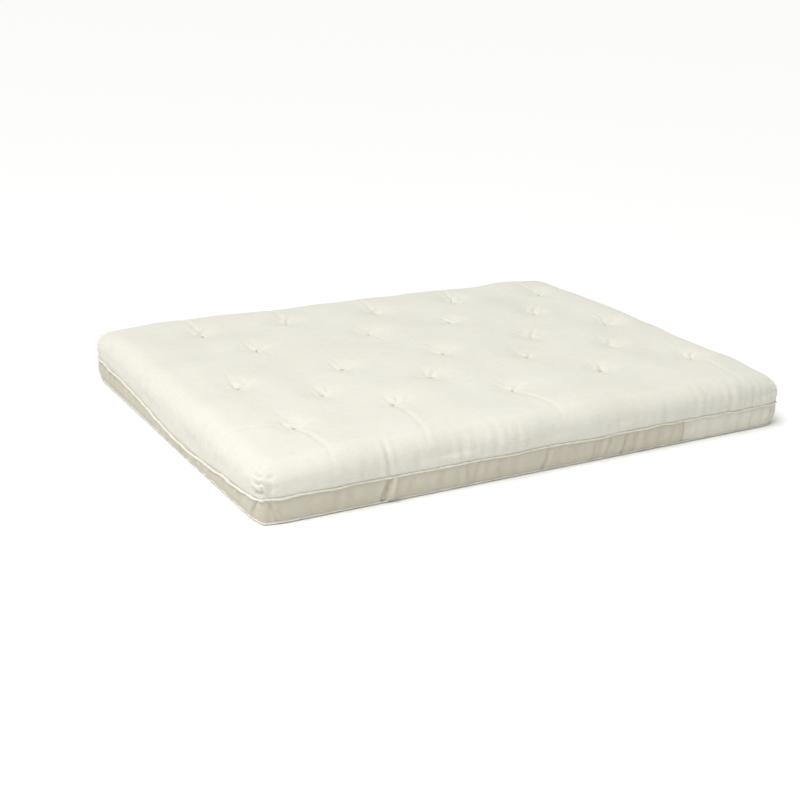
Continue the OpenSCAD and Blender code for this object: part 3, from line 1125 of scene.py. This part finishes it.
lower_outer = batt("lower_outer_batt", "lower_batt_outer", 0.019, 0.018, (-0.0045, -0.0030),
                   fresh_batt)
batt("lower_inner_batt", "lower_batt_inner", 0.018, 0.018, (-0.0028, -0.0012),
                   recycled_batt)
foam_core = batt("foam_slab", "foam_core", 0.025, 0.025, (-0.0010, 0.0035), foam_body)
batt("upper_inner_batt", "upper_batt_inner", crown_inset(0, 0.016), crown_inset(0.129, 0.018),
                   (0.0038, 0.0075), recycled_batt)
batt("upper_middle_batt", "upper_batt_middle", crown_inset(0.1293, 0.018),
                    crown_inset(0.153, 0.018), (0.0078, 0.0125), recycled_batt)

# The outer batt fills the casing, so its upper face runs just inside the top panel and over the crown.
outer_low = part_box("seat_upper_batt_outer")[0].z
edge_cells = 2
inside = slice(edge_cells, -edge_cells)
outer_top = (inner_face - 0.003 * base_out[::inner_step, ::inner_step])[inside, inside]
outer_bottom = outer_top.copy()
outer_bottom[..., 2] = outer_low + layer_gap - pull(outer_top[..., 0], outer_top[..., 1], 0.0128, 0.05)
upper_outer = plate("upper_outer_batt", outer_top, outer_bottom, 0.002, fresh_batt)
bend_at_fold(upper_outer, "upper_batt_outer")


# ---- Tufts ----
# Two-ply cotton twine goes through the whole mattress at each tuft. It is drawn tight and tied off in a
# hard knot with two cut tails on top, and in a smaller knot under the bottom panel.
twine = twine_paint("twine", (0.76, 0.73, 0.64, 1), (0.56, 0.51, 0.41, 1), 420.0)
twine_low, twine_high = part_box("seat_tuft_twine")[0].z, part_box("seat_tuft_twine")[1].z
under_knots = tufts_in("seat_bottom_knots") + tufts_in("back_bottom_knots")
twists = 26


def trefoil(middle, size, high, turn):
    """A round of points along an overhand knot"""
    t = np.linspace(0, 2 * math.pi, 49)
    x = (np.sin(t) + 2 * np.sin(2 * t)) * size / 3
    y = (np.cos(t) - 2 * np.cos(2 * t)) * size / 3
    z = -np.sin(3 * t) * high
    return np.stack([middle[0] + x * math.cos(turn) - y * math.sin(turn),
                     middle[1] + x * math.sin(turn) + y * math.cos(turn), middle[2] + z], -1)


cords, knots, small_knots = [], [], []
for tuft in tufts:
    for side in (0, math.pi):
        share = np.linspace(0, 1, 4 * twists + 1)
        turn = side + share * twists * math.pi
        cords.append(swept(np.stack([
            tuft[0] + 0.0005 * np.cos(turn), tuft[1] + 0.0005 * np.sin(turn),
            twine_low + (twine_high - twine_low) * share,
        ], -1), 0.0005, 6))
    turn = draw.uniform(0, 2 * math.pi)
    middle = np.array([tuft[0], tuft[1], tuft[2] - 0.0020])
    knots.append(swept(trefoil(middle, 0.0030, 0.0009, turn), 0.00095, 7))
    for tail in (0, 1):
        heading = turn + math.pi * tail + draw.uniform(-0.4, 0.4)
        out = np.linspace(0, draw.uniform(0.0075, 0.0105), 8)
        lift = 0.0004 + 0.20 * out
        bend = heading + draw.uniform(-25, 25) * out
        tail_path = middle + np.stack([out * np.cos(bend), out * np.sin(bend), lift], -1)
        knots.append(swept(tail_path, 0.0007 * (1 + 0.7 * (out / out[-1]) ** 4), 6))
for middle in under_knots:
    turn = draw.uniform(0, 2 * math.pi)
    small_knots.append(swept(trefoil(middle, 0.0021, 0.0008, turn), 0.0008, 6))
tuft_cords = strands_object("tuft_cords", cords, twine)
bend_at_fold(tuft_cords, "tuft_twine")
tuft_knots = strands_object("tuft_knots", knots, twine)
bend_at_fold(tuft_knots, "top_knots")
tied_knots = strands_object("tied_off_knots", small_knots, twine)
bend_at_fold(tied_knots, "bottom_knots")
